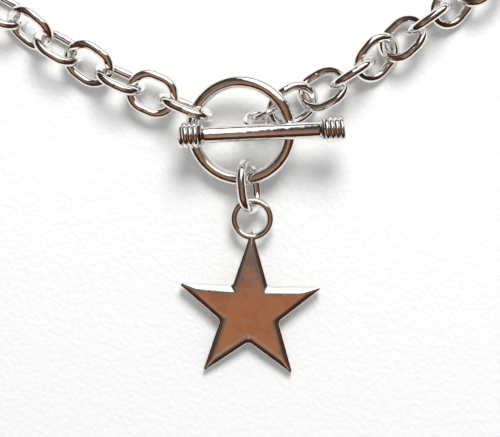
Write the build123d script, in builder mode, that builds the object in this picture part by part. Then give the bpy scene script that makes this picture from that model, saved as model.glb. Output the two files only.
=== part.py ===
"""Star pendant on its toggle necklace, as it lies on a flat surface.

The star hangs by one oval link from the ring of a toggle clasp. The bar of the clasp lies
across the ring, and the cable chain runs from the clasp round the back in one loop.
Millimetres, +Z up. The pieces are laid out round the toggle ring, then the whole is moved so
that the origin is under the middle of its box, on the surface.
"""

import os
from math import asin, atan2, ceil, cos, degrees, hypot, pi, radians, sin

from build123d import *

# Chain links
link_length = 8.2
link_width = 6.8
link_wire = 1.4
ring_link_length = 9.0
pendant_link_length = 8.5

# Toggle ring
ring_diameter = 16.5
ring_wire = 1.9

# Toggle bar
bar_length = 24.8
bar_diameter = 2.5
collar_diameter = 3.1
collar_width = 0.4
cap_coils = 4
cap_coil_wire = 0.9
cap_coil_pitch = 0.8
cap_diameter = 3.9
cap_end_diameter = 3.5
cap_coil_slant = 8.0
bar_loop_diameter = 4.2
bar_loop_wire = 0.8
bar_loop_offset = -0.78

# Small jump ring of the bar
jump_ring_diameter = 5.4
jump_ring_wire = 0.8

# Star: radii to the sharp corners, before they are rounded, and the degrees by which its
# side points and the notches above them lie nearer to the top than on a regular star
star_points = 5
star_radius = 11.5
star_notch_radius = 4.6
star_side_lift = 1.9
star_notch_lift = 0.6
star_thickness = 2.0
star_point_rounding = 0.3
star_notch_rounding = 0.6
star_bevel_width = 1.1
star_bevel_height = 0.6
star_rim_rounding = 0.3
star_loop_diameter = 6.45
star_loop_wire = 1.05
star_neck_width = 2.0
star_neck_length = 1.4
star_neck_thickness = 1.0
star_neck_angle = 74.0

# Depth to which soldered metal runs into its neighbour: a loop into the bar, and the sharp
# corner of the star into its loop
solder_depth = 0.4
star_solder_depth = 0.9

# Free play where two pieces hold each other
chain_play = 0.12
ring_play = 0.6
pendant_play = 0.85
star_play = 0.15
end_link_play = 0.4

# Distance from the straight front of the chain to the middle of the back
necklace_depth = 117.0

# Heights and tilts of the clasp as it lies
ring_height = 4.15
ring_rise_right = 8.0
ring_rise_back = 11.0
bar_height = 7.3
jump_ring_height = 3.1
star_loop_height = 2.8

# Chosen lie of the front links, a row for each, outward from the clasp:
# step as a share of the pulled pitch, bearing of the step, heading, rise and roll in
# degrees, and lift off the surface as a share of the wire
left_front = [
    (0.96, 158, 156, 0, -9, 1.40),
    (1.00, 156, 155, 0, 64, 0.03),
    (0.98, 153, 144, 2, -29, 0.66),
    (0.97, 152, 150, 0, 54, 0.03),
    (0.96, 146, 139, 2, -49, 0.10),
    (0.96, 148, 150, 0, 49, 0.03),
]
right_front = [
    (0.97, 27, 29, 5, -29, 0.36),
    (0.92, 28, 32, 0, -88, 0.03),
    (0.83, 33, 52, 3, 39, 0.15),
    (0.92, 36, 43, 5, -34, 0.36),
    (0.92, 37, 35, 0, -88, 0.03),
    (0.79, 32, 52, 3, 36, 0.27),
    (0.94, 35, 38, 0, -42, 0.03),
]
hidden_roll = 45


def pose(x, y, z, heading=0, rise=0, roll=0):
    """Lay a piece so that its length points along heading and rises, and roll lifts its left side."""
    return Pos(x, y, z) * Rotation(0, 0, heading) * Rotation(0, -rise, 0) * Rotation(roll, 0, 0)


def step_from(start, bearing, distance):
    """The place in plan at a bearing and distance from another."""
    return (start[0] + distance * cos(radians(bearing)), start[1] + distance * sin(radians(bearing)))


def resting_height(roll, clear=0.0):
    """Height of the middle of a rolled link whose lower side is clear of the surface by this much."""
    return (link_width - link_wire) / 2 * abs(sin(radians(roll))) + link_wire / 2 + clear


def oval_link(length):
    """A link of round wire with two straight sides and two half circles, its length along X."""
    bend = (link_width - link_wire) / 2
    straight = (length - link_width) / 2
    with BuildPart() as link:
        with BuildSketch(Plane.YZ.offset(straight)):
            with Locations((-bend, 0)):
                Circle(link_wire / 2)
        revolve(axis=Axis((straight, 0, 0), (0, 0, 1)), revolution_arc=180)
        with BuildSketch(Plane.YZ):
            with Locations((-bend, 0), (bend, 0)):
                Circle(link_wire / 2)
        extrude(amount=straight)
        mirror(about=Plane.YZ)
    return link.part


# Toggle ring, the middle of the layout
ring_plan = (0.0, 0.0)
ring_hole = ring_diameter / 2 - ring_wire
with BuildPart(Plane(pose(*ring_plan, ring_height, 0, ring_rise_right, ring_rise_back))) as toggle_ring:
    Torus((ring_diameter - ring_wire) / 2, ring_wire / 2)
toggle_ring.part.label = "toggle_ring"

# Ring link, almost on edge, round the left side of the ring
ring_link_bearing = 157.0
ring_link_heading = 158.0
ring_link_roll = 78.0
ring_link_rise = -5.0
ring_link_lift = 0.064
ring_link_reach = ring_link_length / 2 - link_wire
ring_link_plan = step_from(ring_plan, ring_link_bearing, ring_hole + ring_link_reach - ring_play)
ring_link_height = resting_height(ring_link_roll, ring_link_lift * link_wire)
ring_link_pose = pose(*ring_link_plan, ring_link_height, ring_link_heading, ring_link_rise, ring_link_roll)
with BuildPart() as ring_link:
    with Locations(ring_link_pose):
        add(oval_link(ring_link_length))
ring_link.part.label = "ring_link"

# Pendant link, round the bottom of the ring and through the loop of the star
pendant_link_bearing = -82.0
pendant_link_heading = 96.0
pendant_link_rise = 4.0
pendant_link_roll = 66.0
pendant_link_lift = 0.05
pendant_link_reach = pendant_link_length / 2 - link_wire
pendant_link_step = ring_hole + pendant_link_reach - pendant_play
pendant_link_plan = step_from(ring_plan, pendant_link_bearing, pendant_link_step)
pendant_link_height = resting_height(pendant_link_roll, pendant_link_lift * link_wire)
pendant_link_pose = pose(
    *pendant_link_plan, pendant_link_height, pendant_link_heading, pendant_link_rise, pendant_link_roll
)
with BuildPart() as pendant_link:
    with Locations(pendant_link_pose):
        add(oval_link(pendant_link_length))
pendant_link.part.label = "pendant_link"


def star_outline():
    """The star's outline, one point up, with its points and notches rounded."""
    lifts = {1: star_notch_lift, 2: star_side_lift, -2: -star_side_lift, -1: -star_notch_lift}
    with BuildSketch() as outline:
        with BuildLine():
            corners = []
            for corner in range(1 - star_points, star_points + 1):
                radius = star_notch_radius if corner % 2 else star_radius
                angle = pi / 2 + corner * pi / star_points - radians(lifts.get(corner, 0))
                corners.append((radius * cos(angle), radius * sin(angle)))
            Polyline(*corners, close=True)
        make_face()
        outward = outline.vertices().sort_by_distance((0, 0, 0))
        fillet(outward[:star_points], star_notch_rounding)
        outward = outline.vertices().sort_by_distance((0, 0, 0))
        fillet(outward[-star_points:], star_point_rounding)
    return outline.sketch


# Star with its loop: the loop lies on the pendant link, the two lower points on the surface
star_heading = -1.7
star_step_bearing = -84.0
star_loop_hole = star_loop_diameter / 2 - star_loop_wire
star_loop_plan = step_from(
    pendant_link_plan, star_step_bearing, star_loop_hole + pendant_link_reach - star_play
)
star_middle = -(star_loop_diameter / 2 - star_solder_depth + star_radius)
star_foot = star_radius * cos(pi / star_points) - star_middle
star_lean = degrees(asin((star_loop_height - star_thickness / 2) / star_foot))
star_plane = Plane(pose(*star_loop_plan, star_loop_height, star_heading, 0, star_lean))
with BuildPart(star_plane) as star_pendant:
    with BuildSketch(star_plane.offset(-star_thickness / 2)):
        with Locations((0, star_middle)):
            add(star_outline())
    extrude(amount=star_thickness - star_bevel_height)
    with BuildSketch(star_plane.offset(star_thickness / 2 - star_bevel_height)):
        with Locations((0, star_middle)):
            add(star_outline())
    with BuildSketch(star_plane.offset(star_thickness / 2)):
        with Locations((0, star_middle)):
            add(star_outline())
        offset(amount=-star_bevel_width, kind=Kind.INTERSECTION, mode=Mode.REPLACE)
    loft(ruled=True)
    star_face = star_pendant.faces().sort_by(Axis(star_plane.origin, star_plane.z_dir))[-1]
    fillet(star_face.edges(), star_rim_rounding)
    star_loop_reach = (star_loop_diameter - star_loop_wire) / 2
    Torus(star_loop_reach, star_loop_wire / 2)
    with BuildSketch(star_plane):
        with Locations((0, -star_loop_reach - star_neck_length / 2)):
            Trapezoid(star_neck_width, star_neck_length, star_neck_angle, rotation=180)
    extrude(amount=star_neck_thickness / 2, both=True)
star_pendant.part.label = "star_pendant"

# Toggle bar with its coiled caps and its soldered loop, across the ring
bar_plan = (3.09, -0.39)
bar_heading = 2.4
bar_rise = 3.0
bar_roll = -50.0
bar_place = pose(*bar_plan, bar_height, bar_heading, bar_rise, bar_roll)
cap_width = (cap_coils - 1) * cap_coil_pitch + cap_coil_wire
cap_start = bar_length / 2 - cap_width
cap_core_diameter = cap_diameter - cap_coil_wire
coil_diameters = [cap_diameter] * (cap_coils - 1) + [cap_end_diameter]
bar_loop_reach = (bar_diameter + bar_loop_diameter) / 2 - solder_depth
with BuildPart(Plane(bar_place)) as toggle_bar:
    Cylinder(bar_diameter / 2, 2 * cap_start, rotation=(0, 90, 0))
    for side in (-1, 1):
        with Locations((side * (cap_start - collar_width / 2), 0, 0)):
            Cylinder(collar_diameter / 2, collar_width, rotation=(0, 90, 0))
        core_width = cap_width - cap_coil_wire / 2
        with Locations((side * (cap_start + core_width / 2), 0, 0)):
            Cylinder(cap_core_diameter / 2 - cap_coil_wire / 4, core_width, rotation=(0, 90, 0))
        for coil, coil_diameter in enumerate(coil_diameters):
            with Locations((side * (cap_start + cap_coil_wire / 2 + coil * cap_coil_pitch), 0, 0)):
                Torus(
                    (coil_diameter - cap_coil_wire) / 2,
                    cap_coil_wire / 2,
                    rotation=(0, 90 + cap_coil_slant, 0),
                )
    with Locations((bar_loop_offset, bar_loop_reach, 0)):
        Torus((bar_loop_diameter - bar_loop_wire) / 2, bar_loop_wire / 2)
toggle_bar.part.label = "toggle_bar"

# Jump ring, through the loop of the bar and the first link of the right chain
jump_ring_bearing = 32.0
jump_ring_step = 1.63
jump_ring_heading = 204.0
jump_ring_rise = 9.0
jump_ring_roll = 93.0
bar_loop_centre = (bar_place * Pos(bar_loop_offset, bar_loop_reach, 0)).position
jump_ring_plan = step_from((bar_loop_centre.X, bar_loop_centre.Y), jump_ring_bearing, jump_ring_step)
jump_ring_place = pose(*jump_ring_plan, jump_ring_height, jump_ring_heading, jump_ring_rise, jump_ring_roll)
with BuildPart(Plane(jump_ring_place)) as bar_jump_ring:
    Torus((jump_ring_diameter - jump_ring_wire) / 2, jump_ring_wire / 2)
bar_jump_ring.part.label = "bar_jump_ring"

# Front of the chain, link by link
pulled_pitch = link_length - 2 * link_wire - chain_play


def lay_links(start, rows):
    """Step outward from a start, a link for each row, and return the plans and the poses."""
    plans = []
    poses = []
    plan = start
    for share, bearing, heading, rise, roll, lift in rows:
        plan = step_from(plan, bearing, share * pulled_pitch)
        plans.append(plan)
        poses.append(pose(*plan, resting_height(roll, lift * link_wire), heading, rise, roll))
    return plans, poses


left_start = step_from(ring_link_plan, ring_link_heading, (ring_link_length - link_length) / 2)
left_plans, left_poses = lay_links(left_start, left_front)

end_link_bearing = 21.7
end_link_heading = 31.0
end_link_rise = -2.5
end_link_roll = 30.0
end_link_lift = 0.27
end_link_reach = jump_ring_diameter / 2 - jump_ring_wire + link_length / 2 - link_wire - end_link_play
end_link_plan = step_from(jump_ring_plan, end_link_bearing, end_link_reach)
end_link_height = resting_height(end_link_roll, end_link_lift * link_wire)
end_link_pose = pose(*end_link_plan, end_link_height, end_link_heading, end_link_rise, end_link_roll)
right_plans, right_poses = lay_links(end_link_plan, right_front)
right_poses.insert(0, end_link_pose)

# Hidden stretch: one plain arc round the back, its links rolled to either side in turn
left_end = left_plans[-1]
right_end = right_plans[-1]
front_bearing = degrees(atan2(right_end[1] - left_end[1], right_end[0] - left_end[0]))
front_width = hypot(right_end[0] - left_end[0], right_end[1] - left_end[1])
front_middle = step_from(left_end, front_bearing, front_width / 2)
back_middle = step_from(front_middle, front_bearing + 90, necklace_depth)
with BuildLine():
    back_arc = ThreePointArc(left_end, back_middle, right_end)
back_length = back_arc.length
back_steps = 2 * ceil(back_length / pulled_pitch / 2)
for number in range(1, back_steps):
    share = number / back_steps
    where = back_arc @ share
    along = back_arc % share
    roll = -hidden_roll if number % 2 else hidden_roll
    link_pose = pose(where.X, where.Y, resting_height(roll), degrees(atan2(along.Y, along.X)), 0, roll)
    if number <= back_steps / 2:
        left_poses.append(link_pose)
    else:
        right_poses.append(link_pose)

cable_link = oval_link(link_length)
with BuildPart() as chain_left:
    with Locations(*left_poses):
        add(cable_link)
chain_left.part.label = "chain_left"
with BuildPart() as chain_right:
    with Locations(*right_poses):
        add(cable_link)
chain_right.part.label = "chain_right"

loop_length = back_length + hypot(left_end[0], left_end[1]) + hypot(right_end[0], right_end[1])
print(f"links {len(left_poses)} + {len(right_poses)}, loop {loop_length:.1f} mm")

# Stand the whole on the surface, with the origin under the middle of its box
pieces = [
    star_pendant,
    pendant_link,
    toggle_ring,
    toggle_bar,
    bar_jump_ring,
    ring_link,
    chain_left,
    chain_right,
]
boxes = [piece.part.bounding_box() for piece in pieces]
middle_x = (min(box.min.X for box in boxes) + max(box.max.X for box in boxes)) / 2
middle_y = (min(box.min.Y for box in boxes) + max(box.max.Y for box in boxes)) / 2
floor_z = min(box.min.Z for box in boxes)
os.makedirs("parts", exist_ok=True)
for piece in pieces:
    piece.part.move(Pos(-middle_x, -middle_y, -floor_z))
    export_step(piece.part, f"parts/{piece.part.label}.step")
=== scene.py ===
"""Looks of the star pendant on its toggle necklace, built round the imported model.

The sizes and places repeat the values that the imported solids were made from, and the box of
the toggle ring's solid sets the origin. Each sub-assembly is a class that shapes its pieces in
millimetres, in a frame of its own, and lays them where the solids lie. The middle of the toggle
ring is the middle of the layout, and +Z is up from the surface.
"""

import logging
from dataclasses import dataclass
from enum import Enum
from math import asin, atan2, ceil, cos, degrees, hypot, pi, radians, sin, sqrt, tan
from typing import Callable, NamedTuple, Sequence

import bmesh
import bpy
from bmesh.types import BMEdge, BMesh, BMVert
from mathutils import Matrix, Vector


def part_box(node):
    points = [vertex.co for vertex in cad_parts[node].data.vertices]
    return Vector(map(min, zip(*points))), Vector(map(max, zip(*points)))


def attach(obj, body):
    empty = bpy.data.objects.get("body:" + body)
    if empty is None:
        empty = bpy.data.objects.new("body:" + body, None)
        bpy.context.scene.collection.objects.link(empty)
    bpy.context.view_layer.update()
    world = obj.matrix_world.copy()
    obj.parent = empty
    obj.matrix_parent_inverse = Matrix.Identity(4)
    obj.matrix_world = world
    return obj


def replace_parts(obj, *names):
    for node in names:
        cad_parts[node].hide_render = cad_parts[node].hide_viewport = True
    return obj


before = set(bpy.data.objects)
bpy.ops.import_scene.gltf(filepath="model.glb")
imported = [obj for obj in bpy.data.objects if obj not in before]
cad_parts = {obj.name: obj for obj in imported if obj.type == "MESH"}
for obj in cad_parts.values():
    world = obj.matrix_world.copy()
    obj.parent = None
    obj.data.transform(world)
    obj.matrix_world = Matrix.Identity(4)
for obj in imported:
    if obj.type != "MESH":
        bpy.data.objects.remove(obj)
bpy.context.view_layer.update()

log = logging.getLogger("star_necklace")

MM = 0.001
ROOT_BODY = "root"
RECESS = "recess"
RECESS_ROUGHNESS = 0.25


# Where the pieces lie


@dataclass(frozen=True)
class Lie:
    """Place of a piece in millimetres from the middle of the toggle ring, and its turn in degrees."""

    x: float
    y: float
    z: float
    heading: float = 0.0
    rise: float = 0.0
    roll: float = 0.0

    def matrix(self) -> Matrix:
        """Matrix from the piece's own millimetres to millimetres of the layout."""
        turn = Matrix.Rotation(radians(self.heading), 4, "Z")
        turn = turn @ Matrix.Rotation(radians(-self.rise), 4, "Y")
        turn = turn @ Matrix.Rotation(radians(self.roll), 4, "X")
        return Matrix.Translation((self.x, self.y, self.z)) @ turn


class FrontLink(NamedTuple):
    """One row of the chosen lie of the front of the chain."""

    share: float
    bearing: float
    heading: float
    rise: float
    roll: float
    lift: float


LEFT_FRONT = (
    FrontLink(0.96, 158, 156, 0, -9, 1.40),
    FrontLink(1.00, 156, 155, 0, 64, 0.03),
    FrontLink(0.98, 153, 144, 2, -29, 0.66),
    FrontLink(0.97, 152, 150, 0, 54, 0.03),
    FrontLink(0.96, 146, 139, 2, -49, 0.10),
    FrontLink(0.96, 148, 150, 0, 49, 0.03),
)
RIGHT_FRONT = (
    FrontLink(0.97, 27, 29, 5, -29, 0.36),
    FrontLink(0.92, 28, 32, 0, -88, 0.03),
    FrontLink(0.83, 33, 52, 3, 39, 0.15),
    FrontLink(0.92, 36, 43, 5, -34, 0.36),
    FrontLink(0.92, 37, 35, 0, -88, 0.03),
    FrontLink(0.79, 32, 52, 3, 36, 0.27),
    FrontLink(0.94, 35, 38, 0, -42, 0.03),
)


def step_from(start: Sequence[float], bearing: float, distance: float) -> tuple[float, float]:
    """The place in plan at a bearing and distance from another.

    Args:
        start: place to start from, in millimetres.
        bearing: direction in degrees from +X.
        distance: millimetres to go.

    Returns:
        The new place in millimetres.
    """
    along = radians(bearing)
    return (start[0] + distance * cos(along), start[1] + distance * sin(along))


@dataclass(frozen=True)
class WireSizes:
    """Sizes that several pieces share, in millimetres."""

    link_length: float = 8.2
    link_width: float = 6.8
    link_wire: float = 1.4
    ring_link_length: float = 9.0
    pendant_link_length: float = 8.5
    ring_diameter: float = 16.5
    ring_wire: float = 1.9
    jump_ring_diameter: float = 5.4
    jump_ring_wire: float = 0.8
    chain_play: float = 0.12
    ring_play: float = 0.6
    pendant_play: float = 0.85
    star_play: float = 0.15
    end_link_play: float = 0.4
    necklace_depth: float = 117.0

    def resting_height(self, roll: float, clear: float = 0.0) -> float:
        """Height of the middle of a rolled link that is clear of the surface by this much."""
        reach = (self.link_width - self.link_wire) / 2
        return reach * abs(sin(radians(roll))) + self.link_wire / 2 + clear


SIZES = WireSizes()


def arc_through(
    start: Sequence[float], middle: Sequence[float], end: Sequence[float]
) -> tuple[Vector, float, float, float]:
    """The arc through three places in plan.

    Args:
        start: first place.
        middle: a place on the arc.
        end: last place.

    Returns:
        Its centre, its radius, the angle of its start and the signed angle that it sweeps.
    """
    (ax, ay), (bx, by), (cx, cy) = start, middle, end
    twice = 2 * (ax * (by - cy) + bx * (cy - ay) + cx * (ay - by))
    sa, sb, sc = ax * ax + ay * ay, bx * bx + by * by, cx * cx + cy * cy
    x = (sa * (by - cy) + sb * (cy - ay) + sc * (ay - by)) / twice
    y = (sa * (cx - bx) + sb * (ax - cx) + sc * (bx - ax)) / twice
    first, mid, last = (atan2(q - y, p - x) for p, q in (start, middle, end))
    sweep = (last - first) % (2 * pi)
    if (mid - first) % (2 * pi) > sweep:
        sweep -= 2 * pi
    return Vector((x, y)), hypot(ax - x, ay - y), first, sweep


class Layout:
    """Lie of every piece, worked out from the same chosen values as the solids."""

    ring_height = 4.15
    ring_link_bearing = 157.0
    ring_link_heading = 158.0
    ring_link_roll = 78.0
    ring_link_lift = 0.064
    pendant_bearing = -82.0
    pendant_roll = 66.0
    pendant_lift = 0.05
    star_bearing = -84.0
    star_height = 2.8
    jump_bearing = 32.0
    jump_step = 1.63
    end_link_bearing = 21.7
    end_link_roll = 30.0
    end_link_lift = 0.27
    hidden_roll = 45.0

    def __init__(self, sizes: WireSizes) -> None:
        """Work out the lies.

        Args:
            sizes: the shared sizes.
        """
        low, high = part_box("toggle_ring")
        middle = (low + high) / 2
        self.origin = Vector((middle.x, middle.y, middle.z - self.ring_height * MM))
        self.sizes = sizes
        hole = sizes.ring_diameter / 2 - sizes.ring_wire
        self.ring = Lie(0, 0, self.ring_height, 0, 8, 11)
        reach = sizes.ring_link_length / 2 - sizes.link_wire
        ring_link_plan = step_from((0, 0), self.ring_link_bearing, hole + reach - sizes.ring_play)
        height = sizes.resting_height(self.ring_link_roll, self.ring_link_lift * sizes.link_wire)
        self.ring_link = Lie(*ring_link_plan, height, self.ring_link_heading, -5, self.ring_link_roll)
        reach = sizes.pendant_link_length / 2 - sizes.link_wire
        plan = step_from((0, 0), self.pendant_bearing, hole + reach - sizes.pendant_play)
        height = sizes.resting_height(self.pendant_roll, self.pendant_lift * sizes.link_wire)
        self.pendant_link = Lie(*plan, height, 96, 4, self.pendant_roll)
        self.star = self._star(plan, reach)
        self.bar = Lie(3.09, -0.39, 7.3, 2.4, 3, -50)
        self.left, self.right = self._chains(ring_link_plan)

    def _star(self, plan: tuple[float, float], reach: float) -> Lie:
        """Lie of the star, whose loop lies on the pendant link and whose lower points touch the surface.

        Args:
            plan: middle of the pendant link.
            reach: from there to the inside of its end.

        Returns:
            The lie of the middle of the star's loop.
        """
        star = StarPendant
        hole = star.loop_diameter / 2 - star.loop_wire
        place = step_from(plan, self.star_bearing, hole + reach - self.sizes.star_play)
        foot = star.radius * cos(pi / star.points) - star.middle()
        lean = degrees(asin((self.star_height - star.thickness / 2) / foot))
        return Lie(*place, self.star_height, -1.7, 0, lean)

    def _chains(self, ring_link_plan: tuple[float, float]) -> tuple[list[Lie], list[Lie]]:
        """Lies of the links of both chains.

        Args:
            ring_link_plan: middle of the link that holds the toggle ring.

        Returns:
            The lies of the left chain and of the right chain, outward from the clasp.
        """
        sizes = self.sizes
        longer = (sizes.ring_link_length - sizes.link_length) / 2
        start = step_from(ring_link_plan, self.ring_link_heading, longer)
        left_plans, left = self._front(start, LEFT_FRONT)
        bar_loop = self.bar.matrix() @ Vector((ToggleBar.loop_offset, ToggleBar.loop_reach(), 0))
        jump_plan = step_from((bar_loop.x, bar_loop.y), self.jump_bearing, self.jump_step)
        self.jump_ring = Lie(*jump_plan, 3.1, 204, 9, 93)
        reach = sizes.jump_ring_diameter / 2 - sizes.jump_ring_wire
        reach += sizes.link_length / 2 - sizes.link_wire - sizes.end_link_play
        end_plan = step_from(jump_plan, self.end_link_bearing, reach)
        end_height = sizes.resting_height(self.end_link_roll, self.end_link_lift * sizes.link_wire)
        right_plans, right = self._front(end_plan, RIGHT_FRONT)
        right.insert(0, Lie(*end_plan, end_height, 31, -2.5, self.end_link_roll))
        back_left, back_right = self._back(left_plans[-1], right_plans[-1])
        return left + back_left, right + back_right

    def _front(
        self, start: tuple[float, float], rows: Sequence[FrontLink]
    ) -> tuple[list[tuple[float, float]], list[Lie]]:
        """Step outward from a start, a link for each row.

        Args:
            start: place before the first step.
            rows: the chosen lie of each link.

        Returns:
            The links' places in plan and their lies.
        """
        pitch = self.sizes.link_length - 2 * self.sizes.link_wire - self.sizes.chain_play
        plans, lies = [], []
        plan = start
        for row in rows:
            plan = step_from(plan, row.bearing, row.share * pitch)
            height = self.sizes.resting_height(row.roll, row.lift * self.sizes.link_wire)
            plans.append(plan)
            lies.append(Lie(*plan, height, row.heading, row.rise, row.roll))
        return plans, lies

    def _back(
        self, left_end: tuple[float, float], right_end: tuple[float, float]
    ) -> tuple[list[Lie], list[Lie]]:
        """Lay the unseen links on one plain arc round the back.

        Args:
            left_end: last link of the left front.
            right_end: last link of the right front.

        Returns:
            The lies of the left half and of the right half.
        """
        sizes = self.sizes
        pitch = sizes.link_length - 2 * sizes.link_wire - sizes.chain_play
        bearing = degrees(atan2(right_end[1] - left_end[1], right_end[0] - left_end[0]))
        width = hypot(right_end[0] - left_end[0], right_end[1] - left_end[1])
        middle = step_from(step_from(left_end, bearing, width / 2), bearing + 90, sizes.necklace_depth)
        centre, radius, first, sweep = arc_through(left_end, middle, right_end)
        steps = 2 * ceil(radius * abs(sweep) / pitch / 2)
        left, right = [], []
        for number in range(1, steps):
            angle = first + sweep * number / steps
            roll = -self.hidden_roll if number % 2 else self.hidden_roll
            x, y = centre.x + radius * cos(angle), centre.y + radius * sin(angle)
            heading = degrees(angle) + (90 if sweep > 0 else -90)
            half = left if number <= steps / 2 else right
            half.append(Lie(x, y, sizes.resting_height(roll), heading, 0, roll))
        return left, right

    def place(self, lie: Lie) -> Matrix:
        """Matrix from a piece's own millimetres to metres of the frame."""
        return Matrix.Translation(self.origin) @ Matrix.Scale(MM, 4) @ lie.matrix()


# Finishes


class NodeTree:
    """A small helper that adds and links shader nodes."""

    def __init__(self, tree: bpy.types.NodeTree) -> None:
        """Start on an empty tree."""
        self.tree = tree
        tree.nodes.clear()

    def add(self, kind: str, **values: object) -> bpy.types.Node:
        """Add a node.

        Args:
            kind: the node's type name.
            values: settings by attribute name.

        Returns:
            The node.
        """
        node = self.tree.nodes.new(kind)
        for key, value in values.items():
            setattr(node, key, value)
        return node

    def link(self, source: bpy.types.NodeSocket, target: bpy.types.NodeSocket) -> None:
        """Link one socket to another."""
        self.tree.links.new(source, target)

    def math(self, operation: str, first: object, second: object = None) -> bpy.types.NodeSocket:
        """Add a Math node.

        Args:
            operation: name of the operation.
            first: a socket or a number.
            second: a socket or a number, or nothing.

        Returns:
            The result's socket.
        """
        node = self.add("ShaderNodeMath", operation=operation)
        for slot, value in enumerate((first, second)):
            if isinstance(value, bpy.types.NodeSocket):
                self.link(value, node.inputs[slot])
            elif value is not None:
                node.inputs[slot].default_value = value
        return node.outputs[0]

    def spread(self, value: bpy.types.NodeSocket, source: tuple, target: tuple) -> bpy.types.NodeSocket:
        """Map a value smoothly from one range to another.

        Args:
            value: socket to read.
            source: lowest and highest value read.
            target: what they become, as numbers or sockets.

        Returns:
            The result's socket.
        """
        node = self.add("ShaderNodeMapRange", interpolation_type="SMOOTHSTEP")
        self.link(value, node.inputs["Value"])
        node.inputs["From Min"].default_value, node.inputs["From Max"].default_value = source
        for name, end in zip(("To Min", "To Max"), target):
            if isinstance(end, bpy.types.NodeSocket):
                self.link(end, node.inputs[name])
            else:
                node.inputs[name].default_value = end
        return node.outputs["Result"]

    def noise(self, vector: bpy.types.NodeSocket, scale: float, detail: float) -> bpy.types.NodeSocket:
        """Add a noise texture.

        Args:
            vector: where it is read.
            scale: how fine it is.
            detail: how many finer layers it has.

        Returns:
            The noise's socket.
        """
        node = self.add("ShaderNodeTexNoise")
        node.inputs["Scale"].default_value = scale
        node.inputs["Detail"].default_value = detail
        self.link(vector, node.inputs["Vector"])
        return node.outputs["Fac"]

    def millimetres(self) -> bpy.types.NodeSocket:
        """Add the object's own coordinates in millimetres, and return their socket."""
        where = self.add("ShaderNodeTexCoord")
        scale = self.add("ShaderNodeMapping")
        scale.inputs["Scale"].default_value = (1 / MM,) * 3
        self.link(where.outputs["Object"], scale.inputs["Vector"])
        return scale.outputs["Vector"]


def group_tree(name: str, inputs: dict[str, str], outputs: dict[str, str]) -> bpy.types.NodeTree:
    """Make an empty shader node group with named sockets.

    Args:
        name: name of the group.
        inputs: socket type by input name.
        outputs: socket type by output name.

    Returns:
        The group's tree.
    """
    tree = bpy.data.node_groups.new(name, "ShaderNodeTree")
    for label, kind in inputs.items():
        tree.interface.new_socket(name=label, in_out="INPUT", socket_type=kind)
    for label, kind in outputs.items():
        tree.interface.new_socket(name=label, in_out="OUTPUT", socket_type=kind)
    return tree


def handled_polish_group() -> bpy.types.NodeTree:
    """Polish that has been handled: cloudy roughness, hairlines and a gentle waviness.

    Returns:
        The group, whose vector is in millimetres.
    """
    scalar, vector = "NodeSocketFloat", "NodeSocketVector"
    tree = group_tree(
        "handled_polish",
        {"Vector": vector, "Low": scalar, "High": scalar, "Hairs": scalar, "Waves": scalar, "Recess": scalar},
        {"Roughness": scalar, "Height": scalar},
    )
    nodes = NodeTree(tree)
    given = nodes.add("NodeGroupInput")
    result = nodes.add("NodeGroupOutput")
    cloud = nodes.noise(given.outputs["Vector"], 0.9, 5.0)
    rough = nodes.spread(cloud, (0.35, 0.7), (given.outputs["Low"], given.outputs["High"]))
    recessed = nodes.math("MULTIPLY", given.outputs["Recess"], RECESS_ROUGHNESS)
    nodes.link(nodes.math("ADD", rough, recessed), result.inputs["Roughness"])
    stretch = nodes.add("ShaderNodeMapping")
    stretch.inputs["Rotation"].default_value = (0.3, 0.2, 0.7)
    stretch.inputs["Scale"].default_value = (1.2, 14.0, 9.0)
    nodes.link(given.outputs["Vector"], stretch.inputs["Vector"])
    hairs = nodes.noise(stretch.outputs["Vector"], 1.0, 3.0)
    wave = nodes.noise(given.outputs["Vector"], 0.75, 1.5)
    fine = nodes.math("MULTIPLY", hairs, given.outputs["Hairs"])
    swell = nodes.math("MULTIPLY", wave, given.outputs["Waves"])
    nodes.link(nodes.math("ADD", fine, swell), result.inputs["Height"])
    return tree


def silver_tone_group() -> bpy.types.NodeTree:
    """Colour of silver, with a faint patina in clouds, and drawn darker where the piece's recess attribute is
    set.

    Returns:
        The group, whose vector is in millimetres.
    """
    scalar, vector, color = "NodeSocketFloat", "NodeSocketVector", "NodeSocketColor"
    tree = group_tree(
        "silver_tone",
        {"Vector": vector, "Bright": color, "Patina": color, "Amount": scalar, "Recess": scalar},
        {"Color": color},
    )
    nodes = NodeTree(tree)
    given = nodes.add("NodeGroupInput")
    result = nodes.add("NodeGroupOutput")
    cloud = nodes.noise(given.outputs["Vector"], 0.5, 4.0)
    patchy = nodes.spread(cloud, (0.45, 0.75), (0.0, given.outputs["Amount"]))
    # The recess attribute pulls the colour fully to the dark one, which darkens the hollows under the bar's
    # windings.
    amount = nodes.math("MINIMUM", nodes.math("ADD", patchy, given.outputs["Recess"]), 1.0)
    mix = nodes.add("ShaderNodeMix", data_type="RGBA")
    nodes.link(amount, mix.inputs["Factor"])
    nodes.link(given.outputs["Bright"], mix.inputs[6])
    nodes.link(given.outputs["Patina"], mix.inputs[7])
    nodes.link(mix.outputs[2], result.inputs["Color"])
    return tree


class Groups:
    """The shared node groups, each built once."""

    polish: bpy.types.NodeTree
    tone: bpy.types.NodeTree

    @classmethod
    def build(cls) -> None:
        """Build the groups."""
        cls.polish = handled_polish_group()
        cls.tone = silver_tone_group()


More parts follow.
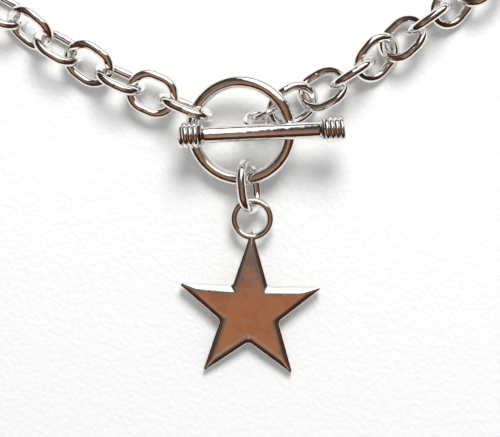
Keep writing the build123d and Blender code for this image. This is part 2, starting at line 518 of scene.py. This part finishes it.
@dataclass(frozen=True)
class SilverFinish:
    """Polished silver: its colours, the range of its roughness and the height of its marks in mm."""

    name: str
    bright: tuple[float, float, float] = (0.93, 0.915, 0.89)
    patina: tuple[float, float, float] = (0.42, 0.37, 0.32)
    patina_amount: float = 0.12
    low: float = 0.05
    high: float = 0.11
    hairs: float = 0.003
    waves: float = 0.045

    def material(self) -> bpy.types.Material:
        """The finish as a material, made at its first use."""
        if self.name in bpy.data.materials:
            return bpy.data.materials[self.name]
        material = bpy.data.materials.new(self.name)
        material.use_nodes = True
        nodes = NodeTree(material.node_tree)
        output = nodes.add("ShaderNodeOutputMaterial")
        shader = nodes.add("ShaderNodeBsdfPrincipled")
        shader.inputs["Metallic"].default_value = 1.0
        nodes.link(shader.outputs["BSDF"], output.inputs["Surface"])
        place = nodes.millimetres()
        recess = nodes.add("ShaderNodeAttribute", attribute_name=RECESS)
        tone = nodes.add("ShaderNodeGroup", node_tree=Groups.tone)
        tone.inputs["Bright"].default_value = (*self.bright, 1.0)
        tone.inputs["Patina"].default_value = (*self.patina, 1.0)
        tone.inputs["Amount"].default_value = self.patina_amount
        polish = nodes.add("ShaderNodeGroup", node_tree=Groups.polish)
        polish.inputs["Low"].default_value = self.low
        polish.inputs["High"].default_value = self.high
        polish.inputs["Hairs"].default_value = self.hairs
        polish.inputs["Waves"].default_value = self.waves
        for group in (tone, polish):
            nodes.link(place, group.inputs["Vector"])
            nodes.link(recess.outputs["Fac"], group.inputs["Recess"])
        bump = nodes.add("ShaderNodeBump")
        bump.inputs["Strength"].default_value = 1.0
        bump.inputs["Distance"].default_value = MM
        nodes.link(polish.outputs["Height"], bump.inputs["Height"])
        nodes.link(tone.outputs["Color"], shader.inputs["Base Color"])
        nodes.link(polish.outputs["Roughness"], shader.inputs["Roughness"])
        nodes.link(bump.outputs["Normal"], shader.inputs["Normal"])
        return material


STAR_FINISH = SilverFinish("mirror_silver", patina_amount=0.34, low=0.07, high=0.13, hairs=0.002, waves=0.014)
WIRE_FINISH = SilverFinish("polished_silver_wire")
# The bar's dark colour tints its faint clouds and also fills the hollows under its windings, where the recess
# attribute is set.
BAR_FINISH = SilverFinish("polished_silver_bar", patina=(0.13, 0.1, 0.08), patina_amount=0.05)


# Shapes


def wire_section(form: BMesh, radius: float, place: Matrix, around: int) -> tuple[list[BMVert], list[BMEdge]]:
    """Add a circle of wire.

    Args:
        form: mesh to add to.
        radius: radius of the wire.
        place: where its middle is, with the wire running along the matrix's Z.
        around: vertices round the wire.

    Returns:
        The circle's vertices and edges.
    """
    made = bmesh.ops.create_circle(form, cap_ends=False, radius=radius, segments=around, matrix=place)
    verts = made["verts"]
    edges = list({edge for vert in verts for edge in vert.link_edges})
    return verts, edges


def last_of(geometry: Sequence[object], kind: type) -> list:
    """The elements of one kind in an operator's result."""
    return [element for element in geometry if isinstance(element, kind)]


def extend(form: BMesh, edges: list[BMEdge], move: Vector, scale: float, middle: Vector) -> list[BMEdge]:
    """Extrude an open ring of edges, move it and scale it about its middle.

    Args:
        form: the mesh.
        edges: the ring.
        move: how far it goes.
        scale: what its size is multiplied by.
        middle: the middle of the ring once it has moved.

    Returns:
        The edges of the new ring.
    """
    made = bmesh.ops.extrude_edge_only(form, edges=edges)["geom"]
    verts = last_of(made, BMVert)
    bmesh.ops.translate(form, verts=verts, vec=move)
    bmesh.ops.scale(form, verts=verts, vec=(scale,) * 3, space=Matrix.Translation(-middle))
    return last_of(made, BMEdge)


def ring_form(form: BMesh, diameter: float, wire: float, around: int, steps: int) -> None:
    """Add a closed ring of round wire that lies flat about the middle.

    Args:
        form: mesh to add to.
        diameter: outside diameter.
        wire: diameter of the wire.
        around: vertices round the wire.
        steps: sections along the ring.
    """
    place = Matrix.Translation(((diameter - wire) / 2, 0, 0)) @ Matrix.Rotation(pi / 2, 4, "X")
    verts, edges = wire_section(form, wire / 2, place, around)
    bmesh.ops.spin(
        form, geom=verts + edges, cent=(0, 0, 0), axis=(0, 0, 1), angle=2 * pi, steps=steps, use_merge=True
    )


def solder_bead(form: BMesh, place: Vector, size: Vector) -> None:
    """Add a smooth bead of solder.

    Args:
        form: mesh to add to.
        place: middle of the bead.
        size: its half widths.
    """
    matrix = Matrix.Translation(place) @ Matrix.Diagonal((*size, 1.0))
    bmesh.ops.create_uvsphere(form, u_segments=20, v_segments=12, radius=1.0, matrix=matrix)


def finished_piece(name: str, form: BMesh, finish: SilverFinish, crease: float = 35.0) -> bpy.types.Object:
    """Turn a placed mesh into a finished piece.

    Args:
        name: name of the piece.
        form: its mesh, already in metres of the frame.
        finish: its finish.
        crease: angle in degrees above which an edge stays crisp.

    Returns:
        The piece, which rides on the one body and carries its finish's material.
    """
    for face in form.faces:
        face.smooth = True
    for edge in form.edges:
        edge.smooth = len(edge.link_faces) == 2 and edge.calc_face_angle() < radians(crease)
    mesh = bpy.data.meshes.new(name)
    form.to_mesh(mesh)
    form.free()
    mesh.materials.append(finish.material())
    piece = bpy.data.objects.new(name, mesh)
    bpy.context.scene.collection.objects.link(piece)
    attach(piece, ROOT_BODY)
    return piece


def take_in(form: BMesh, part: BMesh) -> None:
    """Copy a part's mesh into a form and free the part."""
    mesh = bpy.data.meshes.new("part")
    part.to_mesh(mesh)
    part.free()
    form.from_mesh(mesh)
    bpy.data.meshes.remove(mesh)


def close_up(form: BMesh) -> None:
    """Merge doubles and point the faces outward, in millimetres."""
    bmesh.ops.remove_doubles(form, verts=form.verts, dist=0.001)
    bmesh.ops.recalc_face_normals(form, faces=form.faces)


@dataclass(frozen=True)
class OvalLink:
    """A link of round wire with two half circles and two straight sides, one of them soldered."""

    length: float
    width: float = SIZES.link_width
    wire: float = SIZES.link_wire
    around: int = 20
    bend_steps: int = 18
    seam_half: float = 0.22
    seam_swell: float = 1.035

    def form(self) -> BMesh:
        """The link about its middle, its length along X, in millimetres."""
        form = bmesh.new()
        bend = (self.width - self.wire) / 2
        straight = (self.length - self.width) / 2
        place = Matrix.Translation((straight, -bend, 0)) @ Matrix.Rotation(pi / 2, 4, "Y")
        verts, edges = wire_section(form, self.wire / 2, place, self.around)
        spun = bmesh.ops.spin(
            form, geom=verts + edges, cent=(straight, 0, 0), axis=(0, 0, 1), angle=pi, steps=self.bend_steps
        )
        plain = edges
        soldered = last_of(spun["geom_last"], BMEdge)
        extend(form, plain, Vector((-straight, 0, 0)), 1.0, Vector((0, -bend, 0)))
        run = straight - self.seam_half
        edge = extend(form, soldered, Vector((-run, 0, 0)), 1.0, Vector((self.seam_half, bend, 0)))
        half = self.seam_half / 2
        edge = extend(form, edge, Vector((-half, 0, 0)), self.seam_swell, Vector((half, bend, 0)))
        extend(form, edge, Vector((-half, 0, 0)), 1.0, Vector((0, bend, 0)))
        everything = form.verts[:] + form.edges[:] + form.faces[:]
        bmesh.ops.mirror(form, geom=everything, axis="X", merge_dist=0.001)
        close_up(form)
        return form


class SingleLink:
    """A link that is a piece of its own."""

    def __init__(self, name: str, node: str, link: OvalLink, lie: Lie) -> None:
        """Keep what the link is.

        Args:
            name: name of the piece.
            node: the solid that it replaces.
            link: its sizes.
            lie: where it lies.
        """
        self.name, self.node, self.link, self.lie = name, node, link, lie

    def build(self, layout: Layout) -> bpy.types.Object:
        """Build the link in its place."""
        form = self.link.form()
        bmesh.ops.transform(form, matrix=layout.place(self.lie), verts=form.verts)
        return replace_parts(finished_piece(self.name, form, WIRE_FINISH), self.node)


class CableChain:
    """A run of links, one piece, whose soldered sides turn about from link to link."""

    turns = (
        Matrix.Identity(4),
        Matrix.Rotation(pi, 4, "Z"),
        Matrix.Rotation(pi, 4, "X"),
        Matrix.Rotation(pi, 4, "Y"),
    )

    def __init__(self, name: str, node: str, lies: Sequence[Lie]) -> None:
        """Keep what the chain is.

        Args:
            name: name of the piece.
            node: the solid that it replaces.
            lies: where its links lie.
        """
        self.name, self.node, self.lies = name, node, lies

    def build(self, layout: Layout) -> bpy.types.Object:
        """Build every link of the run in its place."""
        pattern = bpy.data.meshes.new("link_pattern")
        link = OvalLink(SIZES.link_length).form()
        link.to_mesh(pattern)
        link.free()
        form = bmesh.new()
        for number, lie in enumerate(self.lies):
            one = pattern.copy()
            one.transform(layout.place(lie) @ self.turns[(number * 3 + number // 4) % len(self.turns)])
            form.from_mesh(one)
            bpy.data.meshes.remove(one)
        bpy.data.meshes.remove(pattern)
        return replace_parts(finished_piece(self.name, form, WIRE_FINISH), self.node)


@dataclass(frozen=True)
class ToggleRing:
    """The round ring of the clasp."""

    diameter: float = SIZES.ring_diameter
    wire: float = SIZES.ring_wire

    def build(self, layout: Layout) -> bpy.types.Object:
        """Build the ring in its place."""
        form = bmesh.new()
        ring_form(form, self.diameter, self.wire, around=32, steps=144)
        close_up(form)
        bmesh.ops.transform(form, matrix=layout.place(layout.ring), verts=form.verts)
        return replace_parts(finished_piece("toggle_ring_polished", form, WIRE_FINISH), "toggle_ring")


@dataclass(frozen=True)
class JumpRing:
    """A small ring of wire, bent shut so that its cut shows as a hairline."""

    diameter: float = SIZES.jump_ring_diameter
    wire: float = SIZES.jump_ring_wire
    cut: float = 0.06
    around: int = 18
    steps: int = 60

    def build(self, layout: Layout) -> bpy.types.Object:
        """Build the jump ring in its place."""
        form = bmesh.new()
        radius = (self.diameter - self.wire) / 2
        place = Matrix.Translation((radius, 0, 0)) @ Matrix.Rotation(pi / 2, 4, "X")
        verts, edges = wire_section(form, self.wire / 2, place, self.around)
        sweep = 2 * pi - self.cut / radius
        bmesh.ops.spin(
            form, geom=verts + edges, cent=(0, 0, 0), axis=(0, 0, 1), angle=sweep, steps=self.steps
        )
        bmesh.ops.holes_fill(form, edges=[edge for edge in form.edges if edge.is_boundary])
        close_up(form)
        bmesh.ops.transform(form, matrix=layout.place(layout.jump_ring), verts=form.verts)
        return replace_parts(finished_piece("bar_jump_ring_polished", form, WIRE_FINISH), "bar_jump_ring")


@dataclass(frozen=True)
class ToggleBar:
    """The bar of the clasp: a rod with collars, wire wound round its ends and a small loop."""

    length: float = 24.8
    rod: float = 2.5
    collar: float = 3.1
    collar_width: float = 0.4
    coil_wire: float = 0.9
    coil_pitch: float = 0.8
    coils: int = 4
    cap: float = 3.9
    loop: float = 4.2
    loop_wire: float = 0.8
    solder_depth: float = 0.4
    loop_offset: float = -0.78
    around: int = 32

    @classmethod
    def loop_reach(cls) -> float:
        """Distance from the rod's middle line to the middle of the loop."""
        return (cls.rod + cls.loop) / 2 - cls.solder_depth

    def cap_start(self) -> float:
        """Distance from the middle of the bar to the first coil."""
        return self.length / 2 - (self.coils - 1) * self.coil_pitch - self.coil_wire

    def build(self, layout: Layout) -> bpy.types.Object:
        """Build the bar in its place."""
        form = bmesh.new()
        self._rod(form)
        for turn in (Matrix.Identity(4), Matrix.Rotation(pi, 4, "Y")):
            self._winding(form, turn)
        self._loop(form)
        close_up(form)
        # Recess is full 0.6 mm below the windings' outer face and fades to none at 0.3 mm below it. It draws
        # those hollows darker and rougher.
        recess = form.verts.layers.float.new(RECESS)
        for vert in form.verts:
            depth = hypot(vert.co.y, vert.co.z)
            wound = self.cap_start() - 0.1 < abs(vert.co.x) < self.length / 2 - 0.3
            if wound and depth < self.cap / 2 - 0.3:
                vert[recess] = min(1.0, (self.cap / 2 - 0.3 - depth) / 0.3)
        bmesh.ops.transform(form, matrix=layout.place(layout.bar), verts=form.verts)
        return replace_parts(finished_piece("toggle_bar_polished", form, BAR_FINISH), "toggle_bar")

    def _rod(self, form: BMesh) -> None:
        """Spin the rod with its collars and the core under the windings."""
        start = self.cap_start()
        radius = self.rod / 2
        collar = self.collar / 2
        width = self.collar_width
        tip = self.length / 2 - self.coil_wire / 2
        half = [
            (0.0, radius),
            (start - width - 0.35, radius),
            (start - width - 0.15, radius + 0.04),
            (start - width, radius + 0.16),
            (start - width + 0.1, collar - 0.05),
            (start - width / 2, collar),
            (start - 0.08, collar - 0.06),
            (start, radius + 0.1),
            (tip, radius + 0.1),
            (tip + 0.22, radius - 0.1),
            (tip + 0.32, radius - 0.5),
            (tip + 0.35, 0.0),
        ]
        line = [(-x, r) for x, r in reversed(half[1:])] + half
        verts = [form.verts.new((x, 0.0, r)) for x, r in line]
        edges = [form.edges.new(pair) for pair in zip(verts, verts[1:])]
        bmesh.ops.spin(
            form, geom=verts + edges, cent=(0, 0, 0), axis=(1, 0, 0), angle=2 * pi, steps=self.around,
            use_merge=True,
        )

    def _winding(self, form: BMesh, turn: Matrix) -> None:
        """Wind the wire round one end of the rod.

        Args:
            form: mesh to add to.
            turn: turn from the right end to the end that is wound.
        """
        radius = (self.cap - self.coil_wire) / 2
        start = self.cap_start() + self.coil_wire / 2
        place = turn @ Matrix.Translation((start, 0, radius)) @ Matrix.Rotation(pi / 2, 4, "Y")
        place = place @ Matrix.Rotation(pi / 2, 4, "X")
        verts, edges = wire_section(form, self.coil_wire / 2, place, 14)
        turns = self.coils - 0.7
        steps = int(28 * turns)
        axis = turn @ Vector((1, 0, 0))
        shift = axis * self.coil_pitch * turns * 0.92 / steps
        bmesh.ops.spin(
            form, geom=verts + edges, cent=(0, 0, 0), axis=axis, dvec=shift, angle=2 * pi * turns, steps=steps
        )
        bmesh.ops.holes_fill(form, edges=[edge for edge in form.edges if edge.is_boundary])

    def _loop(self, form: BMesh) -> None:
        """Solder the small loop to the side of the rod."""
        loop = bmesh.new()
        ring_form(loop, self.loop, self.loop_wire, around=18, steps=56)
        place = Vector((self.loop_offset, self.loop_reach(), 0))
        bmesh.ops.translate(loop, verts=loop.verts, vec=place)
        bead = Vector((self.loop_offset, self.rod / 2 + 0.02, 0))
        solder_bead(loop, bead, Vector((0.75, 0.3, 0.5)))
        take_in(form, loop)


@dataclass(frozen=True)
class StarPendant:
    """The star: steep walls, wide rounded shoulders and a faintly domed face, soldered to its loop."""

    points: int = 5
    radius: float = 11.5
    notch: float = 4.6
    side_lift: float = 1.9
    notch_lift: float = 0.6
    neck_cut: float = 0.3
    tip_cut: float = 0.85
    notch_cut: float = 0.45
    thickness: float = 2.0
    back_edge: float = 0.12
    shoulder: float = 1.35
    shoulder_slope: float = 44.0
    shoulder_steps: int = 20
    shoulder_power: float = 1.5
    face_rings: tuple[float, ...] = (0.3, 0.7, 1.1, 1.5, 1.9, 2.15)
    side_cuts: int = 14
    dome: float = 0.0028
    loop_diameter: float = 6.45
    loop_wire: float = 1.05
    solder: float = 0.9
    neck_reach: float = 0.9

    @classmethod
    def middle(cls) -> float:
        """Where the middle of the star is, along Y from the middle of its loop."""
        return -(cls.loop_diameter / 2 - cls.solder + cls.radius)

    def build(self, layout: Layout) -> bpy.types.Object:
        """Build the star in its place."""
        form = bmesh.new()
        self._body(form)
        loop = bmesh.new()
        ring_form(loop, self.loop_diameter, self.loop_wire, around=28, steps=112)
        take_in(form, loop)
        close_up(form)
        bmesh.ops.transform(form, matrix=layout.place(layout.star), verts=form.verts)
        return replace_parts(finished_piece("star_pendant_polished", form, STAR_FINISH), "star_pendant")

    def _outline(self, form: BMesh) -> None:
        """Lay the star's outline as one face, its top point run into the loop and its corners rounded."""
        corners = 2 * self.points
        verts = bmesh.ops.create_circle(form, cap_ends=True, radius=1.0, segments=corners)["verts"]
        lifts = {1: -self.notch_lift, 2: -self.side_lift, 8: self.side_lift, 9: self.notch_lift}
        for number, vert in enumerate(verts):
            radius = self.notch if number % 2 else self.radius + (0.0 if number else self.neck_reach)
            turn = Matrix.Rotation(radians(lifts.get(number, 0.0)), 3, "Z")
            bmesh.ops.scale(form, verts=[vert], vec=(radius, radius, 1))
            bmesh.ops.rotate(form, verts=[vert], cent=(0, 0, 0), matrix=turn)
        corner_rounds = (
            (verts[:1], self.neck_cut, 6),
            (verts[2::2], self.tip_cut, 10),
            (verts[1::2], self.notch_cut, 6),
        )
        for rounded, cut, segments in corner_rounds:
            bmesh.ops.bevel(
                form, geom=rounded, offset=cut, segments=segments, profile=0.5, affect="VERTICES", material=-1
            )
        sides = [edge for edge in form.edges if edge.calc_length() > 2 * self.tip_cut]
        bmesh.ops.subdivide_edges(form, edges=sides, cuts=self.side_cuts)

    def _profile(self) -> list[tuple[float, float]]:
        """Distance in from the outline and height of each ring, from the back to the face."""
        top = self.thickness / 2
        steps = self.shoulder_steps
        run = self.shoulder / steps
        arc = [(self.shoulder, top)]
        for step in range(steps):
            slope = radians(self.shoulder_slope) * ((step + 0.5) / steps) ** self.shoulder_power
            inset, height = arc[-1]
            arc.append((inset - run, height - run * tan(slope)))
        crest = arc.pop()[1]
        rings = [(self.back_edge, -top), (self.back_edge * 0.3, -top + self.back_edge * 0.3)]
        rings += [(0.0, -top + self.back_edge), (0.0, 0.0), (0.0, crest - 0.05), (0.012, crest + 0.005)]
        rings += arc[::-1]
        return rings + [(self.shoulder + inward, top) for inward in self.face_rings]

    def _body(self, form: BMesh) -> None:
        """Raise the star from its outline in rings, each one scaled in from the last, and dome its face."""
        self._outline(form)
        half = pi / self.points
        edge = self.radius * self.notch * sin(half)
        edge /= sqrt(self.radius**2 + self.notch**2 - 2 * self.radius * self.notch * cos(half))
        rings = self._profile()
        inset, height = rings[0]
        scale = 1 - inset / edge
        bmesh.ops.scale(form, verts=form.verts, vec=(scale, scale, 1))
        bmesh.ops.translate(form, verts=form.verts, vec=(0, 0, height))
        ring = form.edges[:]
        for next_inset, next_height in rings[1:]:
            made = bmesh.ops.extrude_edge_only(form, edges=ring)["geom"]
            verts = last_of(made, BMVert)
            ratio = (1 - next_inset / edge) / (1 - inset / edge)
            bmesh.ops.scale(form, verts=verts, vec=(ratio, ratio, 1))
            bmesh.ops.translate(form, verts=verts, vec=(0, 0, next_height - height))
            ring = last_of(made, BMEdge)
            inset, height = next_inset, next_height
        bmesh.ops.holes_fill(form, edges=ring)
        for vert in form.verts:
            share = vert.co.z / self.thickness + 0.5
            vert.co.z -= self.dome * share * (vert.co.x**2 + vert.co.y**2)
        bmesh.ops.translate(form, verts=form.verts, vec=(0, self.middle(), 0))


# Surface, light and camera


@dataclass(frozen=True)
class Surface:
    """The plain pale surface, finely pebbled."""

    reach: float = 3.0
    color: tuple[float, float, float] = (0.86, 0.86, 0.855)
    pebble: float = 0.65
    pebble_height: float = 0.07

    def build(self) -> bpy.types.Object:
        """Lay the surface at height 0."""
        form = bmesh.new()
        bmesh.ops.create_grid(form, x_segments=1, y_segments=1, size=self.reach)
        mesh = bpy.data.meshes.new("pale_surface")
        form.to_mesh(mesh)
        form.free()
        mesh.materials.append(self._material())
        surface = bpy.data.objects.new("pale_surface", mesh)
        bpy.context.scene.collection.objects.link(surface)
        return surface

    def _material(self) -> bpy.types.Material:
        """White leathery cloth with a fine grain."""
        material = bpy.data.materials.new("pale_surface")
        material.use_nodes = True
        nodes = NodeTree(material.node_tree)
        output = nodes.add("ShaderNodeOutputMaterial")
        shader = nodes.add("ShaderNodeBsdfPrincipled")
        shader.inputs["Base Color"].default_value = (*self.color, 1.0)
        shader.inputs["Roughness"].default_value = 0.6
        nodes.link(shader.outputs["BSDF"], output.inputs["Surface"])
        place = nodes.millimetres()
        pebbles = nodes.add("ShaderNodeTexVoronoi", feature="SMOOTH_F1")
        pebbles.inputs["Scale"].default_value = 1 / self.pebble
        nodes.link(place, pebbles.inputs["Vector"])
        height = nodes.math("ADD", pebbles.outputs["Distance"], nodes.noise(place, 1.1, 4.0))
        bump = nodes.add("ShaderNodeBump")
        bump.inputs["Distance"].default_value = self.pebble_height * MM
        nodes.link(height, bump.inputs["Height"])
        nodes.link(bump.outputs["Normal"], shader.inputs["Normal"])
        return material


class RoomPatch(NamedTuple):
    """A soft-edged patch of the room that the silver mirrors, in degrees and linear colour."""

    name: str
    azimuth: float
    half_width: float
    near: float
    far: float
    soft: float
    color: tuple[float, float, float]


ROOM_WALLS = (0.090, 0.055, 0.041)
ROOM_PATCHES = (
    RoomPatch("ceiling", 0, 180, -40, 34, 12, (0.185, 0.140, 0.107)),
    RoomPatch("dark_left", 316, 34, 8, 100, 8, (0.058, 0.053, 0.043)),
    RoomPatch("pale_left", 286, 12, 14, 46, 8, (0.230, 0.180, 0.138)),
    RoomPatch("brown_left", 256, 22, 32, 100, 14, (0.080, 0.040, 0.028)),
    RoomPatch("copper_front", 178, 56, 6, 20, 3, (0.375, 0.142, 0.068)),
    RoomPatch("glow_left", 208, 12, 17, 42, 6, (0.370, 0.190, 0.112)),
    RoomPatch("glow_right", 152, 12, 17, 42, 6, (0.350, 0.165, 0.095)),
    RoomPatch("tan_front", 181, 12, 19, 46, 6, (0.355, 0.262, 0.192)),
    RoomPatch("pale_right", 74, 12, 14, 42, 8, (0.200, 0.155, 0.120)),
    RoomPatch("red_right", 112, 34, 34, 100, 12, (0.090, 0.030, 0.020)),
    RoomPatch("low_front", 185, 75, 50, 100, 6, (0.080, 0.020, 0.010)),
    RoomPatch("lowest", 180, 180, 66, 100, 8, (0.026, 0.013, 0.010)),
    RoomPatch("overhead", 30, 180, -40, 6.0, 2.5, (0.205, 0.157, 0.117)),
    RoomPatch("window", 21.5, 36.5, 8.5, 74, 4, (1.400, 1.400, 1.400)),
    RoomPatch("sill", 20, 75, 75, 100, 3, (0.045, 0.035, 0.028)),
)


@dataclass(frozen=True)
class Light:
    """Soft studio light: one large soft box, an even pale fill, and the room that the silver mirrors."""

    bearing: float = 80.0
    elevation: float = 51.0
    distance: float = 0.6
    size: float = 0.27
    power: float = 3.3
    fill: float = 0.51

    def build(self) -> None:
        """Set the room and hang the soft box."""
        self._room()
        lamp = bpy.data.lights.new("soft_box", "AREA")
        lamp.shape = "DISK"
        lamp.size = self.size
        lamp.energy = self.power
        box = bpy.data.objects.new("soft_box", lamp)
        along, up = radians(self.bearing), radians(self.elevation)
        towards = Vector((cos(along) * cos(up), sin(along) * cos(up), sin(up)))
        box.location = Camera.target() + towards * self.distance
        box.rotation_mode = "QUATERNION"
        box.rotation_quaternion = towards.to_track_quat("Z", "Y")
        box.visible_glossy = False
        bpy.context.scene.collection.objects.link(box)

    def _mask(
        self, nodes: NodeTree, patch: RoomPatch, parts: dict[str, bpy.types.NodeSocket]
    ) -> bpy.types.NodeSocket:
        """How much of a patch is seen in a direction.

        Args:
            nodes: the world's nodes.
            patch: the patch.
            parts: the direction's height, and its level part of length 1.

        Returns:
            A value from 0 to 1.
        """
        height, level = parts["height"], parts["level"]
        top = cos(radians(max(0.0, patch.near - patch.soft))), cos(radians(max(0.0, patch.near + patch.soft)))
        low = cos(radians(patch.far + patch.soft)), cos(radians(patch.far - patch.soft))
        mask = nodes.spread(height, low, (0.0, 1.0))
        if patch.near > 0:
            mask = nodes.math("MULTIPLY", mask, nodes.spread(height, top[::-1], (1.0, 0.0)))
        if patch.half_width < 180:
            towards = nodes.add("ShaderNodeVectorMath", operation="DOT_PRODUCT")
            towards.inputs[1].default_value = (sin(radians(patch.azimuth)), cos(radians(patch.azimuth)), 0.0)
            nodes.link(level, towards.inputs[0])
            side = cos(radians(patch.half_width + patch.soft)), cos(radians(patch.half_width - patch.soft))
            mask = nodes.math("MULTIPLY", mask, nodes.spread(towards.outputs["Value"], side, (0.0, 1.0)))
        return mask

    def _room(self) -> None:
        """The room that the silver mirrors, by direction only, and the even fill that all else gets."""
        world = bpy.data.worlds.new("room")
        bpy.context.scene.world = world
        world.use_nodes = True
        nodes = NodeTree(world.node_tree)
        output = nodes.add("ShaderNodeOutputWorld")
        direction = nodes.add("ShaderNodeTexCoord").outputs["Generated"]
        split = nodes.add("ShaderNodeSeparateXYZ")
        nodes.link(direction, split.inputs["Vector"])
        flat = nodes.add("ShaderNodeVectorMath", operation="MULTIPLY")
        flat.inputs[1].default_value = (1.0, 1.0, 0.0)
        nodes.link(direction, flat.inputs[0])
        level = nodes.add("ShaderNodeVectorMath", operation="NORMALIZE")
        nodes.link(flat.outputs["Vector"], level.inputs[0])
        parts = {"height": split.outputs["Z"], "level": level.outputs["Vector"]}
        walls = nodes.add("ShaderNodeRGB")
        walls.outputs[0].default_value = (*ROOM_WALLS, 1.0)
        color = walls.outputs[0]
        for patch in ROOM_PATCHES:
            mix = nodes.add("ShaderNodeMix", data_type="RGBA", label=patch.name)
            nodes.link(self._mask(nodes, patch, parts), mix.inputs["Factor"])
            nodes.link(color, mix.inputs[6])
            mix.inputs[7].default_value = (*patch.color, 1.0)
            color = mix.outputs[2]
        room = nodes.add("ShaderNodeBackground")
        nodes.link(color, room.inputs["Color"])
        even = nodes.add("ShaderNodeBackground")
        even.inputs["Color"].default_value = (1.0, 1.0, 1.0, 1.0)
        even.inputs["Strength"].default_value = self.fill
        rays = nodes.add("ShaderNodeLightPath")
        seen = nodes.add("ShaderNodeMixShader")
        nodes.link(rays.outputs["Is Glossy Ray"], seen.inputs["Fac"])
        nodes.link(even.outputs["Background"], seen.inputs[1])
        nodes.link(room.outputs["Background"], seen.inputs[2])
        nodes.link(seen.outputs["Shader"], output.inputs["Surface"])


@dataclass(frozen=True)
class Camera:
    """Camera straight above the clasp and the star, with the photograph's field of view."""

    height: float = 0.375
    sensor: float = 36.0
    lens: float = 180.0

    @staticmethod
    def target() -> Vector:
        """The place on the surface at the middle of the picture."""
        low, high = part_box("toggle_ring")
        middle = (low + high) / 2
        return Vector((middle.x + 1.34 * MM, middle.y - 13.07 * MM, 0))

    def build(self) -> bpy.types.Object:
        """Make the camera and hand it to the scene."""
        data = bpy.data.cameras.new("above")
        data.sensor_width = self.sensor
        data.lens = self.lens
        data.clip_start = 0.01
        camera = bpy.data.objects.new("above", data)
        camera.location = self.target() + Vector((0, 0, self.height))
        bpy.context.scene.collection.objects.link(camera)
        bpy.context.scene.camera = camera
        return camera


class ColorView(Enum):
    """How light is turned into picture values."""

    PLAIN = "Standard"


def main() -> None:
    """Build every piece in order and report it."""
    logging.basicConfig(level=logging.INFO, format="%(name)s: %(message)s")
    bpy.context.scene.view_settings.view_transform = ColorView.PLAIN.value
    Camera().build()
    Groups.build()
    layout = Layout(SIZES)
    pendant_link = OvalLink(SIZES.pendant_link_length)
    ring_link = OvalLink(SIZES.ring_link_length)
    builders: tuple[Callable[[Layout], bpy.types.Object], ...] = (
        StarPendant().build,
        SingleLink("pendant_link_polished", "pendant_link", pendant_link, layout.pendant_link).build,
        ToggleRing().build,
        ToggleBar().build,
        JumpRing().build,
        SingleLink("ring_link_polished", "ring_link", ring_link, layout.ring_link).build,
        CableChain("chain_left_polished", "chain_left", layout.left).build,
        CableChain("chain_right_polished", "chain_right", layout.right).build,
    )
    for build in builders:
        piece = build(layout)
        log.info("%s has %d faces", piece.name, len(piece.data.polygons))
    Surface().build()
    Light().build()


if __name__ == "__main__":
    main()
